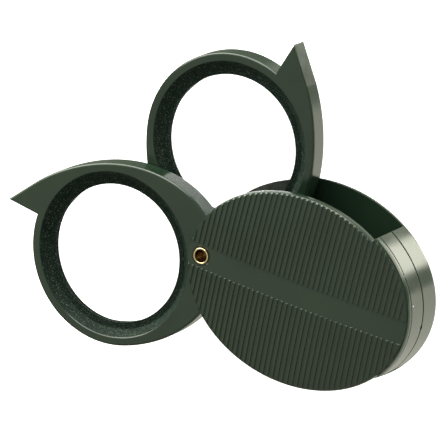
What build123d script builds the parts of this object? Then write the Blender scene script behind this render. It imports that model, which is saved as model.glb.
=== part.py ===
"""Folding pocket magnifier: two framed lenses that swing on one brass eyelet,
out of an oval case made of two cover halves.

Millimetres. The origin is on the eyelet's axis, halfway through the case.
+Z comes out of the domed front cover and +X runs along the case to its far end.
"""

from build123d import *
import os
from math import asin, cos, degrees, radians, sin, sqrt

# ---------------------------------------------------------------- driving sizes

# Case
case_half_length = 25.0
case_half_width = 20.1
lens_distance = 21.25  # from the eyelet to the middle of the oval, and of each lens
case_half_height = 6.8  # from the parting plane to the edge of either cover
dome_rise = 1.2  # of the front cover's middle above its edge
edge_round = 1.3
plate_thickness = 1.6
rim_thickness = 1.7
rim_start = -25.8  # degrees about the middle of the oval
rim_end = 49.0
tongue_depth = 1.2  # of the front rim's tongue in the rear rim's rabbet
tongue_thickness = 0.8
lap_gap = 0.05
seam_width = 0.4  # of the slot round the case where the covers meet
seam_depth = 0.5
crease_width = 0.25  # of the line round the rim, level with the plate's underside
crease_depth = 0.25

# Front plate's edge along the case's open sides, set in from the rim
plate_half_length = 24.35
plate_half_width = 19.1
plate_turn = -3.5  # degrees from the case's long axis
plate_edge_round = 0.9
plate_blend = 0.06  # height of the rounding's start above the dome

# Ribs and the plain band between them
rib_pitch = 1.1
groove_count = 43
groove_width = 0.65
groove_depth = 0.25
band_width = 4.8
nick_width = 0.8
nick_depth = 0.45
nick_height = 0.8

# Lens frames
frame_height = 4.7
layer_gap = 0.4  # between the two frames
frame_half_length = 24.3
frame_half_width = 18.75
frame_edge_round = 0.55
tab_angle = 27.0  # degrees about the lens, of the tab's straight edge
tab_tip_radius = 25.9
tab_arc_radius = 38.5
tab_arc_angle = 23.5  # degrees, where the tab's long arc turns straight
bore_radius = 16.9
bore_chamfer = 0.2
seat_radius = 15.6
lip_radius = 14.3
lip_height = 0.9
lip_flare = 0.7
front_frame_angle = 200.4  # open position, anticlockwise from shut
rear_frame_angle = 97.0

# Lenses and the rings that hold them
lens_radius = 15.4
lens_clear_radius = 14.0  # of the curved part, inside a flat edge
lens_edge = 1.0
front_lens_bulge = 1.3
rear_lens_bulge = 1.6
front_ledge_depth = 1.75  # of the holding ring below the frame's face
rear_ledge_depth = 1.3
ring_radius = 14.2
ring_thickness = 0.45
ring_groove_pitch = 0.35
ring_groove_count = 3
ring_groove_size = 0.15

# Eyelet and washers
tube_outer_radius = 1.55
tube_inner_radius = 1.3
running_gap = 0.05
flange_radius = 1.67
flange_thickness = 0.5
flange_floor = 6.6
flange_recess_radius = 2.1
roll_radius = 0.17
clinch_radius = 2.05
clinch_thickness = 0.3
washer_radius = 2.4
washer_thickness = 0.3
washer_recess_depth = 0.75
washer_recess_radius = 2.6
spacer_radius = 3.1

# ---------------------------------------------------------------- derived sizes

inner_face = case_half_height - plate_thickness
dome_top = case_half_height + dome_rise
dome_radius = (case_half_length**2 + dome_rise**2) / (2 * dome_rise)
groove_reach = case_half_length + rim_thickness
front_frame_base = layer_gap / 2
rear_frame_base = -layer_gap / 2 - frame_height
pivot_hole_radius = tube_outer_radius + running_gap
washer_floor = washer_recess_depth - case_half_height
clinch_floor = washer_floor - washer_thickness
beyond = 4 * case_half_length  # reaches well past the case

os.makedirs("parts", exist_ok=True)


def save(builder, name):
    """Label a finished piece and write it to its own file."""
    builder.part.label = name
    export_step(builder.part, f"parts/{name}.step")


def from_middle(radius, angle):
    """A point at a radius and an angle about the middle of the oval."""
    return (lens_distance + radius * cos(radians(angle)), radius * sin(radians(angle)))


# ---------------------------------------------------------------- case covers


def rim_plan(outer_inset, inner_inset):
    """The rim in plan, between two insets from the oval's edge."""
    with BuildSketch() as rim:
        with BuildLine():
            Polyline(
                from_middle(0, 0),
                from_middle(beyond, rim_start),
                from_middle(beyond, (rim_start + rim_end) / 2),
                from_middle(beyond, rim_end),
                from_middle(0, 0),
            )
        make_face()
        with Locations((lens_distance, 0)):
            Ellipse(
                case_half_length - outer_inset,
                case_half_width - outer_inset,
                mode=Mode.INTERSECT,
            )
            Ellipse(
                case_half_length - inner_inset,
                case_half_width - inner_inset,
                mode=Mode.SUBTRACT,
            )
    return rim.sketch


def dome_height(radius):
    """Height of the domed face at a radius from its middle."""
    return dome_top - dome_radius + sqrt(dome_radius**2 - radius**2)


def domed_blank(drop, half_length, half_width, rounding):
    """The front cover's outside down to the parting plane, lowered by drop, with its
    middle on the Z axis. It is turned about that axis, then squeezed across."""
    with BuildPart() as blank:
        with BuildSketch(Plane.XZ) as profile:
            with BuildLine():
                dome = ThreePointArc(
                    (0, dome_top - drop),
                    (half_length / 2, dome_height(half_length / 2) - drop),
                    (half_length, dome_height(half_length) - drop),
                )
                Polyline(
                    dome @ 1,
                    (half_length, inner_face + crease_width / 2),
                    (half_length - crease_depth, inner_face + crease_width / 2),
                    (half_length - crease_depth, inner_face - crease_width / 2),
                    (half_length, inner_face - crease_width / 2),
                    (half_length, seam_width / 2),
                    (half_length - seam_depth, seam_width / 2),
                    (half_length - seam_depth, 0),
                    (0, 0),
                    dome @ 0,
                )
            make_face()
            if rounding:
                outside = profile.vertices().group_by(Axis.X)[-1]
                fillet(outside.sort_by(Axis.Y)[-1], rounding)
        revolve(axis=Axis.Z)
        scale(by=(1, half_width / half_length, 1))
    return blank.part


with BuildSketch() as opening:
    with Locations((lens_distance, 0)):
        Rectangle(beyond, beyond)
    add(rim_plan(-rim_thickness, rim_thickness), mode=Mode.SUBTRACT)

with BuildSketch() as grooves:
    with Locations((lens_distance, 0)):
        with GridLocations(rib_pitch, 0, groove_count, 1):
            Rectangle(groove_width, beyond)
        Rectangle(beyond, band_width)

with BuildPart() as front_grooves:
    extrude(grooves.sketch, amount=2 * dome_top)
    with Locations((lens_distance, 0)):
        add(
            domed_blank(
                groove_depth,
                groove_reach,
                groove_reach * case_half_width / case_half_length,
                0,
            ),
            mode=Mode.SUBTRACT,
        )

with BuildPart() as plate_trim:
    extrude(opening.sketch, amount=2 * dome_top)
    with Locations(Location((lens_distance, 0, 0), (0, 0, plate_turn))):
        add(
            domed_blank(
                -plate_blend, plate_half_length, plate_half_width, plate_edge_round
            ),
            mode=Mode.SUBTRACT,
        )

with BuildPart() as front_cover:
    with Locations((lens_distance, 0)):
        add(domed_blank(0, case_half_length, case_half_width, edge_round))
    add(plate_trim.part, mode=Mode.SUBTRACT)
    extrude(opening.sketch, amount=inner_face, mode=Mode.SUBTRACT)
    extrude(
        rim_plan(rim_thickness - tongue_thickness, rim_thickness),
        amount=-tongue_depth,
    )
    add(front_grooves.part, mode=Mode.SUBTRACT)
    with BuildSketch(Plane.XY.offset(flange_floor)):
        Circle(flange_recess_radius)
    extrude(amount=dome_top, mode=Mode.SUBTRACT)
    with BuildSketch(Plane.XY):
        Circle(pivot_hole_radius)
    extrude(amount=dome_top, mode=Mode.SUBTRACT)
    with BuildSketch(Plane.XY):
        with Locations((lens_distance + case_half_length, 0)):
            Rectangle(2 * nick_depth, nick_width)
    extrude(amount=nick_height / 2, mode=Mode.SUBTRACT)
save(front_cover, "front_cover")

with BuildPart() as rear_cover:
    with BuildSketch(Plane.XY.offset(-case_half_height)):
        with Locations((lens_distance, 0)):
            Ellipse(case_half_length, case_half_width)
    extrude(amount=case_half_height)
    fillet(rear_cover.faces().sort_by(Axis.Z)[0].edges(), edge_round)
    with BuildSketch(Plane.XY):
        with Locations((lens_distance, 0)):
            Ellipse(case_half_length, case_half_width)
            Ellipse(
                case_half_length - seam_depth,
                case_half_width - seam_depth,
                mode=Mode.SUBTRACT,
            )
    extrude(amount=-seam_width / 2, mode=Mode.SUBTRACT)
    extrude(opening.sketch, amount=-inner_face, mode=Mode.SUBTRACT)
    extrude(
        rim_plan(rim_thickness - tongue_thickness - lap_gap, 2 * rim_thickness),
        amount=-tongue_depth - lap_gap,
        mode=Mode.SUBTRACT,
    )
    with BuildSketch(Plane.XY.offset(-case_half_height)):
        add(grooves.sketch)
    extrude(amount=groove_depth, mode=Mode.SUBTRACT)
    with BuildSketch(Plane.XY.offset(washer_floor)):
        Circle(washer_recess_radius)
    extrude(amount=-washer_recess_depth, mode=Mode.SUBTRACT)
    with BuildSketch(Plane.XY):
        Circle(pivot_hole_radius)
    extrude(amount=-case_half_height, mode=Mode.SUBTRACT)
    with BuildSketch(Plane.XY):
        with Locations((lens_distance + case_half_length, 0)):
            Rectangle(2 * nick_depth, nick_width)
    extrude(amount=-nick_height / 2, mode=Mode.SUBTRACT)
save(rear_cover, "rear_cover")

# ---------------------------------------------------------------- lens frames


def turned_plane(angle):
    """The plane of a lens frame turned about the eyelet from its shut position."""
    return Plane.XY.rotated((0, 0, angle))


def upright_plane(angle, height):
    """The plane through the eyelet and a turned frame's lens axis, with its origin
    on the lens axis at this height."""
    flat = turned_plane(angle)
    return Plane(
        origin=flat.from_local_coords((lens_distance, 0, height)),
        x_dir=flat.x_dir,
        z_dir=-flat.y_dir,
    )


def lens_axis(angle):
    """A turned frame's lens axis."""
    return Axis(turned_plane(angle).from_local_coords((lens_distance, 0, 0)), (0, 0, 1))


def frame_body(angle, base, ledge_depth):
    """A lens frame: a ring that runs into an oval end round the eyelet and into a
    long curved wall that ends in a pointed tab."""
    lens_face = frame_height - ledge_depth - ring_thickness
    with BuildPart() as body:
        with BuildSketch(turned_plane(angle).offset(base)):
            with BuildLine():
                EllipticalCenterArc(
                    from_middle(0, 0),
                    frame_half_length,
                    frame_half_width,
                    start_angle=90,
                    arc_size=180,
                )
                wall = JernArc(
                    from_middle(frame_half_width, -90),
                    (1, 0),
                    tab_arc_radius,
                    tab_arc_angle,
                )
                Polyline(
                    wall @ 1,
                    from_middle(tab_tip_radius, -tab_angle),
                    from_middle(frame_half_width, -tab_angle),
                )
                CenterArc(from_middle(0, 0), frame_half_width, -tab_angle, 90 + tab_angle)
            make_face()
        extrude(amount=frame_height)
        fillet(
            body.faces().sort_by(Axis.Z)[-1].edges()
            + body.faces().sort_by(Axis.Z)[0].edges(),
            frame_edge_round,
        )
        with BuildSketch(upright_plane(angle, base)):
            with BuildLine():
                Polyline(
                    (0, 0),
                    (lip_radius + lip_flare, 0),
                    (lip_radius, lip_height),
                    (lip_radius, lens_face - lens_edge),
                    (seat_radius, lens_face - lens_edge),
                    (seat_radius, lens_face + ring_thickness),
                    (bore_radius, frame_height - bore_chamfer),
                    (bore_radius + bore_chamfer, frame_height),
                    (0, frame_height),
                    (0, 0),
                )
            make_face()
        revolve(axis=lens_axis(angle), mode=Mode.SUBTRACT)
        with BuildSketch(Plane.XY.offset(base)):
            Circle(pivot_hole_radius)
        extrude(amount=frame_height, mode=Mode.SUBTRACT)
    return body.part


def biconvex_lens(angle, base, ledge_depth, bulge):
    """A lens with equal bulges inside a flat edge, seated under the holding ring."""
    lens_face = frame_height - ledge_depth - ring_thickness
    surface_radius = (lens_clear_radius**2 + bulge**2) / (2 * bulge)
    sweep = degrees(asin(lens_clear_radius / surface_radius))
    with BuildPart() as body:
        with BuildSketch(upright_plane(angle, base)):
            with BuildLine():
                front = JernArc((0, lens_face + bulge), (1, 0), surface_radius, -sweep)
                back = JernArc(
                    (0, lens_face - lens_edge - bulge), (1, 0), surface_radius, sweep
                )
                Polyline(
                    front @ 1,
                    (lens_radius, lens_face),
                    (lens_radius, lens_face - lens_edge),
                    back @ 1,
                )
                Line(back @ 0, front @ 0)
            make_face()
        revolve(axis=lens_axis(angle))
    return body.part


def holding_ring(angle, base, ledge_depth):
    """The thin ring over a lens, with fine grooves round its face."""
    face = frame_height - ledge_depth
    first_groove = (seat_radius + ring_radius) / 2
    with BuildPart() as body:
        with BuildSketch(upright_plane(angle, base)):
            with Locations((ring_radius, face - ring_thickness)):
                Rectangle(
                    seat_radius - ring_radius,
                    ring_thickness,
                    align=(Align.MIN, Align.MIN),
                )
            with Locations((first_groove, face)):
                with GridLocations(ring_groove_pitch, 0, ring_groove_count, 1):
                    Rectangle(
                        ring_groove_size, 2 * ring_groove_size, mode=Mode.SUBTRACT
                    )
        revolve(axis=lens_axis(angle))
    return body.part


with BuildPart() as front_lens_frame:
    add(frame_body(front_frame_angle, front_frame_base, front_ledge_depth))
save(front_lens_frame, "front_lens_frame")

with BuildPart() as front_lens:
    add(
        biconvex_lens(
            front_frame_angle, front_frame_base, front_ledge_depth, front_lens_bulge
        )
    )
save(front_lens, "front_lens")

with BuildPart() as front_lens_retainer:
    add(holding_ring(front_frame_angle, front_frame_base, front_ledge_depth))
save(front_lens_retainer, "front_lens_retainer")

with BuildPart() as rear_lens_frame:
    add(frame_body(rear_frame_angle, rear_frame_base, rear_ledge_depth))
save(rear_lens_frame, "rear_lens_frame")

with BuildPart() as rear_lens:
    add(
        biconvex_lens(
            rear_frame_angle, rear_frame_base, rear_ledge_depth, rear_lens_bulge
        )
    )
save(rear_lens, "rear_lens")

with BuildPart() as rear_lens_retainer:
    add(holding_ring(rear_frame_angle, rear_frame_base, rear_ledge_depth))
save(rear_lens_retainer, "rear_lens_retainer")

# ---------------------------------------------------------------- pivot


def washer(bottom, top, inner_radius, outer_radius):
    """A flat washer on the eyelet's axis."""
    with BuildPart() as body:
        with BuildSketch(Plane.XY.offset(bottom)):
            Circle(outer_radius)
            Circle(inner_radius, mode=Mode.SUBTRACT)
        extrude(amount=top - bottom)
    return body.part


with BuildPart() as pivot_eyelet:
    with BuildSketch(Plane.XZ):
        with BuildLine():
            Polyline(
                (tube_inner_radius, clinch_floor - clinch_thickness),
                (clinch_radius, clinch_floor - clinch_thickness),
                (clinch_radius, clinch_floor),
                (tube_outer_radius, clinch_floor),
                (tube_outer_radius, flange_floor),
                (flange_radius, flange_floor),
                (flange_radius, flange_floor + flange_thickness),
                (tube_inner_radius, flange_floor + flange_thickness),
                (tube_inner_radius, clinch_floor - clinch_thickness),
            )
        make_face()
    revolve(axis=Axis.Z)
    fillet(pivot_eyelet.edges().group_by(Axis.Z)[-1], roll_radius)
    fillet(pivot_eyelet.edges().group_by(Axis.Z)[0], roll_radius / 2)
save(pivot_eyelet, "pivot_eyelet")

with BuildPart() as eyelet_washer:
    add(washer(clinch_floor, washer_floor, tube_outer_radius, washer_radius))
save(eyelet_washer, "eyelet_washer")

with BuildPart() as front_spacer_washer:
    add(
        washer(
            front_frame_base + frame_height + running_gap,
            inner_face,
            tube_outer_radius,
            spacer_radius,
        )
    )
save(front_spacer_washer, "front_spacer_washer")

with BuildPart() as middle_spacer_washer:
    add(
        washer(
            running_gap - front_frame_base,
            front_frame_base - running_gap,
            tube_outer_radius,
            spacer_radius,
        )
    )
save(middle_spacer_washer, "middle_spacer_washer")

with BuildPart() as rear_spacer_washer:
    add(
        washer(
            -inner_face,
            rear_frame_base - running_gap,
            tube_outer_radius,
            spacer_radius,
        )
    )
save(rear_spacer_washer, "rear_spacer_washer")
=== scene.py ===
import bpy
from mathutils import Matrix, Vector


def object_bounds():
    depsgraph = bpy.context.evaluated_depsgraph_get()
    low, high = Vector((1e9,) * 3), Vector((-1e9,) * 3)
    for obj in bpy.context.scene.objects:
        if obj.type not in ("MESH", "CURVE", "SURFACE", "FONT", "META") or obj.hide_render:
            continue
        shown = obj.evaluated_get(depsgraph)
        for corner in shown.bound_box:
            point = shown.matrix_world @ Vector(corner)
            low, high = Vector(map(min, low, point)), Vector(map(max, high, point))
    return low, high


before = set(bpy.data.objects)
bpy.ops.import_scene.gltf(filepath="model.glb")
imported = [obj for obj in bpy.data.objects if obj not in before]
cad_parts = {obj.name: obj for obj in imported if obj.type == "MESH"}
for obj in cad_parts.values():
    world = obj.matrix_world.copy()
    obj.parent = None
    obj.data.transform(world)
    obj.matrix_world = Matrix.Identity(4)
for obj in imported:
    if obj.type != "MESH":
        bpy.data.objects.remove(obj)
cad_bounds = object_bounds()
scene = bpy.context.scene
scene.view_settings.view_transform = "Standard"
MM = 0.001

# ------------------------------------------------------------------ node helpers


class Nodes:
    """Short calls for building one node tree."""

    def __init__(self, tree):
        self.tree = tree
        tree.nodes.clear()

    def add(self, kind, **values):
        """A new node. Each value goes to the node's setting or input of that name."""
        node = self.tree.nodes.new(kind)
        for key, value in values.items():
            if hasattr(node, key):
                setattr(node, key, value)
            else:
                node.inputs[key.replace("_", " ")].default_value = value
        return node

    def link(self, source, target):
        self.tree.links.new(source, target)


def new_material(name):
    material = bpy.data.materials.new(name)
    material.use_nodes = True
    return material, Nodes(material.node_tree)


def surface_output(n, shader_socket):
    output = n.add("ShaderNodeOutputMaterial")
    n.link(shader_socket, output.inputs["Surface"])


def coordinates(n, scale=(1, 1, 1)):
    """Positions in metres in the shared frame, stretched by a scale per axis."""
    texture = n.add("ShaderNodeTexCoord")
    mapping = n.add("ShaderNodeMapping", Scale=scale)
    n.link(texture.outputs["Object"], mapping.inputs["Vector"])
    return mapping.outputs["Vector"]


def noise(n, vector, scale, detail=4.0, rough=0.5):
    node = n.add("ShaderNodeTexNoise", Scale=scale, Detail=detail, Roughness=rough)
    n.link(vector, node.inputs["Vector"])
    return node.outputs["Fac"]


def remap(n, value, low, high, new_low, new_high):
    """The value's range low to high, turned into the range new_low to new_high."""
    node = n.add(
        "ShaderNodeMapRange",
        From_Min=low,
        From_Max=high,
        To_Min=new_low,
        To_Max=new_high,
    )
    n.link(value, node.inputs["Value"])
    return node.outputs["Result"]


def combine(n, operation, first, second):
    node = n.add("ShaderNodeMath", operation=operation)
    n.link(first, node.inputs[0])
    n.link(second, node.inputs[1])
    return node.outputs[0]


def mix_colour(n, factor, first, second):
    """A mix of two colours, each a tuple or another node's output."""
    node = n.add("ShaderNodeMix", data_type="RGBA")
    sockets = [socket for socket in node.inputs if socket.type == "RGBA"]
    for socket, value in zip(sockets, (first, second)):
        if isinstance(value, tuple):
            socket.default_value = (*value, 1.0)
        else:
            n.link(value, socket)
    n.link(factor, node.inputs[0])
    return [socket for socket in node.outputs if socket.type == "RGBA"][0]


def bump(n, height, strength, distance, normal=None):
    node = n.add("ShaderNodeBump", Strength=strength, Distance=distance)
    n.link(height, node.inputs["Height"])
    if normal is not None:
        n.link(normal, node.inputs["Normal"])
    return node.outputs["Normal"]


def within(n, centre, radius):
    """1 within a radius of an upright axis and 0 beyond it."""
    texture = n.add("ShaderNodeTexCoord")
    offset = n.add("ShaderNodeVectorMath", operation="SUBTRACT")
    offset.inputs[1].default_value = (*centre, 0)
    flat = n.add("ShaderNodeVectorMath", operation="MULTIPLY")
    flat.inputs[1].default_value = (1, 1, 0)
    length = n.add("ShaderNodeVectorMath", operation="LENGTH")
    n.link(texture.outputs["Object"], offset.inputs[0])
    n.link(offset.outputs["Vector"], flat.inputs[0])
    n.link(flat.outputs["Vector"], length.inputs[0])
    return remap(n, length.outputs["Value"], radius, radius + 0.02 * MM, 1, 0)


# ------------------------------------------------------------------ materials

EDGE_RADIUS = 0.2 * MM
LENS_BORE_RADIUS = 16.95 * MM
EYELET_BORE_RADIUS = 1.31 * MM
FRONT_LENS_AXIS = (-19.917 * MM, -7.407 * MM)
REAR_LENS_AXIS = (-2.590 * MM, 21.092 * MM)

DUST = (0.6, 0.6, 0.56)
RUBBED_EDGE = (0.12, 0.14, 0.11)
# Inside the lens bores: the plastic's colour darkened as painted shade, and a light colour
# for painted glints.
BORE_BASE_WITH_PAINTED_SHADE = (0.005, 0.013, 0.009)
BORE_PAINTED_GLINT = (0.12, 0.17, 0.13)


def edge_wear(n, soft_normal):
    """How far a softened edge has turned away from the flat surface beside it."""
    turned = n.add("ShaderNodeVectorMath", operation="DOT_PRODUCT")
    n.link(soft_normal, turned.inputs[0])
    n.link(n.add("ShaderNodeNewGeometry").outputs["Normal"], turned.inputs[1])
    return remap(n, turned.outputs["Value"], 0.99, 0.9, 0, 0.3)


def spark_textured_with_painted_glints_and_shade(n, vector, haze, surface):
    """The matt, finely pitted finish inside a lens bore, with its base colour darkened as
    painted shade and bright specks painted in as glints.
    """
    shader = n.add("ShaderNodeBsdfPrincipled", IOR=1.22)
    pits_and_painted_glints = noise(n, vector, scale=4200, detail=3.0, rough=0.6)
    # Painted shade and painted glints: a darkened base colour with light speckles where the
    # noise peaks.
    colour = mix_colour(n, remap(n, pits_and_painted_glints, 0.58, 0.66, 0, 0.8), BORE_BASE_WITH_PAINTED_SHADE, BORE_PAINTED_GLINT)
    n.link(colour, shader.inputs["Base Color"])
    n.link(remap(n, haze, 0.3, 0.7, 0.55, 0.7), shader.inputs["Roughness"])
    pits = remap(n, pits_and_painted_glints, 0.55, 0.75, 0, 1)
    n.link(bump(n, pits, 0.6, 0.03 * MM, surface), shader.inputs["Normal"])
    return shader


def moulded_plastic(name, dark, light, rough_low, rough_high, bore=None):
    """Glossy moulded plastic: faint flow marks, handling haze, wear along the edges,
    fine scuffs and a few specks of dust. Inside a lens bore it is spark-textured,
    with a darker base colour as painted shade and bright specks as painted glints."""
    material, n = new_material(name)
    shader = n.add("ShaderNodeBsdfPrincipled", IOR=1.48)
    vector = coordinates(n)
    flow = noise(n, vector, scale=60, detail=3.0)
    haze = noise(n, vector, scale=240, detail=5.0, rough=0.6)
    skin = noise(n, vector, scale=3500, detail=3.0)
    scuffs = noise(n, coordinates(n, (1, 0.12, 1)), scale=2600, detail=4.0, rough=0.7)
    soft_normal = n.add("ShaderNodeBevel", samples=6, Radius=EDGE_RADIUS).outputs["Normal"]

    plain = mix_colour(n, remap(n, flow, 0.35, 0.65, 0, 1), dark, light)
    wear = combine(n, "MULTIPLY", edge_wear(n, soft_normal), haze)
    worn = mix_colour(n, wear, plain, RUBBED_EDGE)
    specks = n.add("ShaderNodeTexVoronoi", Scale=170)
    n.link(vector, specks.inputs["Vector"])
    dust = remap(n, specks.outputs["Distance"], 0.035, 0.02, 0, 1)
    n.link(mix_colour(n, dust, worn, DUST), shader.inputs["Base Color"])

    rough = remap(n, haze, 0.3, 0.7, rough_low, rough_high)
    scuffed = combine(n, "ADD", rough, remap(n, scuffs, 0.62, 0.8, 0.0, 0.18))
    n.link(scuffed, shader.inputs["Roughness"])

    surface = bump(n, flow, 0.25, 0.04 * MM, soft_normal)
    surface = bump(n, skin, 0.12, 0.01 * MM, surface)
    n.link(surface, shader.inputs["Normal"])
    if bore is None:
        surface_output(n, shader.outputs["BSDF"])
        return material

    # Inside the bore, the colour carries painted shade and painted glints.
    matt = spark_textured_with_painted_glints_and_shade(n, vector, haze, surface)
    choose = n.add("ShaderNodeMixShader")
    n.link(within(n, bore, LENS_BORE_RADIUS), choose.inputs[0])
    n.link(shader.outputs["BSDF"], choose.inputs[1])
    n.link(matt.outputs["BSDF"], choose.inputs[2])
    surface_output(n, choose.outputs["Shader"])
    return material


def brass(name):
    """Polished brass with tarnish in places, fine drawing lines and a darker bore."""
    material, n = new_material(name)
    shader = n.add("ShaderNodeBsdfPrincipled", Metallic=1.0)
    tarnish = noise(n, coordinates(n), scale=900, detail=5.0, rough=0.6)
    lines = noise(n, coordinates(n, (1, 1, 0.05)), scale=5000, detail=2.0)
    patch = remap(n, tarnish, 0.45, 0.7, 0, 1)
    outside = mix_colour(n, patch, (0.76, 0.62, 0.37), (0.48, 0.34, 0.16))
    darker_bore_colour = mix_colour(n, patch, (0.40, 0.27, 0.11), (0.08, 0.05, 0.02))
    bore = within(n, (0, 0), EYELET_BORE_RADIUS)
    n.link(mix_colour(n, bore, outside, darker_bore_colour), shader.inputs["Base Color"])
    n.link(remap(n, tarnish, 0.3, 0.7, 0.14, 0.38), shader.inputs["Roughness"])
    n.link(bump(n, lines, 0.2, 0.01 * MM), shader.inputs["Normal"])
    surface_output(n, shader.outputs["BSDF"])
    return material


def clear_acrylic(name):
    """Clear lens plastic with a slight haze from wiping."""
    material, n = new_material(name)
    shader = n.add(
        "ShaderNodeBsdfPrincipled",
        Base_Color=(0.985, 0.995, 0.99, 1),
        Transmission_Weight=1.0,
        IOR=1.49,
    )
    wipe = noise(n, coordinates(n, (1, 0.1, 1)), scale=900, detail=3.0, rough=0.7)
    ripple = noise(n, coordinates(n), scale=300, detail=2.0)
    n.link(remap(n, wipe, 0.55, 0.8, 0.0, 0.05), shader.inputs["Roughness"])
    n.link(bump(n, ripple, 0.02, 0.01 * MM), shader.inputs["Normal"])
    surface_output(n, shader.outputs["BSDF"])
    return material


# Each plastic: its darker and lighter colour, then its lowest and highest roughness.
SHELL = ((0.0095, 0.0205, 0.012), (0.013, 0.028, 0.016), 0.13, 0.22)
RING = ((0.004, 0.008, 0.006), (0.010, 0.016, 0.012), 0.44, 0.56)
NYLON = ((0.45, 0.44, 0.40), (0.55, 0.54, 0.50), 0.4, 0.55)

shell = moulded_plastic("shell_plastic", *SHELL)
nylon = moulded_plastic("nylon", *NYLON)
metal = brass("eyelet_brass")
acrylic = clear_acrylic("lens_acrylic")

FINISH = {
    "front_cover": shell,
    "rear_cover": shell,
    "front_lens_frame": moulded_plastic("front_frame_plastic", *SHELL, FRONT_LENS_AXIS),
    "rear_lens_frame": moulded_plastic("rear_frame_plastic", *SHELL, REAR_LENS_AXIS),
    "front_lens_retainer": moulded_plastic("front_ring_plastic", *RING, FRONT_LENS_AXIS),
    "rear_lens_retainer": moulded_plastic("rear_ring_plastic", *RING, REAR_LENS_AXIS),
    "front_lens": acrylic,
    "rear_lens": acrylic,
    "pivot_eyelet": metal,
    "eyelet_washer": metal,
    "front_spacer_washer": nylon,
    "middle_spacer_washer": nylon,
    "rear_spacer_washer": nylon,
}
for name, material in FINISH.items():
    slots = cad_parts[name].data.materials
    slots.clear()
    slots.append(material)

# ------------------------------------------------------------------ floor

FLOOR_SIZE = 6.0
FLOOR_CENTRE = (0.02, 0.01)
FLOOR_GAP = 0.02 * MM
FLOOR_GLOW = 1.25

material, n = new_material("light_table")
grain = noise(n, coordinates(n), scale=900)
diffuse = n.add("ShaderNodeBsdfDiffuse")
n.link(mix_colour(n, grain, (0.86, 0.86, 0.86), (0.92, 0.92, 0.92)), diffuse.inputs["Color"])
glow = n.add("ShaderNodeEmission", Strength=FLOOR_GLOW)
both = n.add("ShaderNodeAddShader")
n.link(diffuse.outputs["BSDF"], both.inputs[0])
n.link(glow.outputs["Emission"], both.inputs[1])
surface_output(n, both.outputs["Shader"])

floor_height = cad_bounds[0][2] - FLOOR_GAP
bpy.ops.mesh.primitive_plane_add(size=FLOOR_SIZE, location=(*FLOOR_CENTRE, floor_height))
floor = bpy.context.object
floor.name = "floor"
floor.data.materials.append(material)
floor.visible_glossy = False

# ------------------------------------------------------------------ studio light

# Reflector cards low down round the object: azimuth in degrees, brightness.
CARDS = (
    (-180, 0.2),
    (-110, 0.7),
    (-40, 1.6),
    (9, 2.0),
    (12, 0.7),
    (31, 0.7),
    (38, 7.0),
    (66, 7.0),
    (71, 1.2),
    (110, 1.2),
    (124, 0.3),
    (180, 0.2),
)
CARD_SCALE = 10
SKY_LOW, SKY_HIGH = 0.08, 0.75
STRIP_BRIGHTNESS = 10
WARM_WHITE = (1, 1, 0.84, 1)


def turn_of(azimuth):
    """An azimuth in degrees as the radial gradient gives it, 0 to 1."""
    return azimuth / 360 + 0.5


world = bpy.data.worlds.new("studio")
scene.world = world
world.use_nodes = True
n = Nodes(world.node_tree)
direction = n.add("ShaderNodeTexCoord").outputs["Generated"]
around = n.add("ShaderNodeTexGradient", gradient_type="RADIAL")
n.link(direction, around.inputs["Vector"])
turn = around.outputs["Fac"]
height = n.add("ShaderNodeSeparateXYZ")
n.link(direction, height.inputs["Vector"])
level = height.outputs["Z"]

cards = n.add("ShaderNodeValToRGB")
stops = cards.color_ramp.elements
while len(stops) < len(CARDS):
    stops.new(0.5)
for stop, (azimuth, brightness) in zip(stops, CARDS):
    stop.position = turn_of(azimuth)
    stop.color = (brightness / CARD_SCALE,) * 3 + (1,)
n.link(turn, cards.inputs["Fac"])
low_down = remap(n, cards.outputs["Color"], 0, 1, 0, CARD_SCALE)

# Soft overhead light that fades towards the horizon.
overhead = remap(n, level, 0.35, 0.65, SKY_LOW, SKY_HIGH)
sky = n.add("ShaderNodeMix", data_type="FLOAT")
n.link(remap(n, level, -0.05, 0.05, 0, 1), sky.inputs[0])
n.link(low_down, sky.inputs[2])
n.link(overhead, sky.inputs[3])

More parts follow.
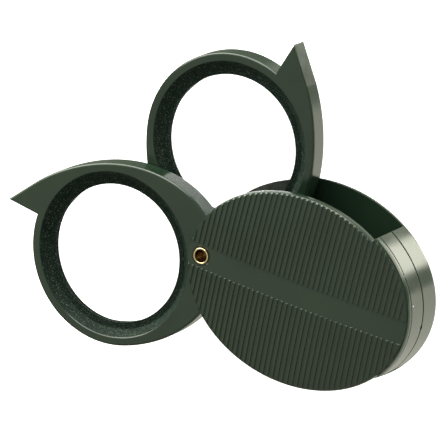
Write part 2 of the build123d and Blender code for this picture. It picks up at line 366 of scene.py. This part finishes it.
# A bright strip round the back at the horizon, which the rounded edges mirror.
strip_start = remap(n, turn, turn_of(80), turn_of(95), 0, 1)
strip_end = remap(n, turn, turn_of(165), turn_of(175), 1, 0)
strip_bottom = remap(n, level, -0.22, -0.15, 0, 1)
strip_top = remap(n, level, 0.28, 0.36, STRIP_BRIGHTNESS, 0)
strip_round = combine(n, "MULTIPLY", strip_start, strip_end)
strip_up = combine(n, "MULTIPLY", strip_bottom, strip_top)
strip = combine(n, "MULTIPLY", strip_round, strip_up)

background = n.add("ShaderNodeBackground", Color=WARM_WHITE)
n.link(combine(n, "ADD", sky.outputs[0], strip), background.inputs["Strength"])
world_output = n.add("ShaderNodeOutputWorld")
n.link(background.outputs["Background"], world_output.inputs["Surface"])

# A soft box behind the object.
LAMP_TOWARDS = Vector((-0.5, 0.75, 0.5)).normalized()
LAMP_AIM = Vector((0.01, 0.01, 0))
LAMP_DISTANCE = 0.8

light = bpy.data.lights.new("back", "AREA")
light.shape = "RECTANGLE"
light.size = 1.3
light.size_y = 0.22
light.energy = 7.5
lamp = bpy.data.objects.new("back", light)
lamp.matrix_world = (
    Matrix.Translation(LAMP_AIM + LAMP_TOWARDS * LAMP_DISTANCE)
    @ LAMP_TOWARDS.to_track_quat("Z", "Y").to_matrix().to_4x4()
)
scene.collection.objects.link(lamp)

# ------------------------------------------------------------------ camera

CAMERA_POSITION = Vector((349.90, 293.85, 769.87)) * MM
CAMERA_RIGHT = Vector((0.8592936, 0.20687829, -0.4677776))
CAMERA_DOWN = Vector((0.32927955, -0.92357736, 0.1964175))
CAMERA_FORWARD = Vector((-0.39139429, -0.3228099, -0.86174491))

camera_data = bpy.data.cameras.new("camera")
camera_data.sensor_width = 36.0
camera_data.lens = 361.6
camera_data.clip_start = 0.01
camera_data.clip_end = 20
camera = bpy.data.objects.new("camera", camera_data)
axes = Matrix((CAMERA_RIGHT, -CAMERA_DOWN, -CAMERA_FORWARD)).transposed()
camera.matrix_world = Matrix.Translation(CAMERA_POSITION) @ axes.to_4x4()
scene.collection.objects.link(camera)
scene.camera = camera
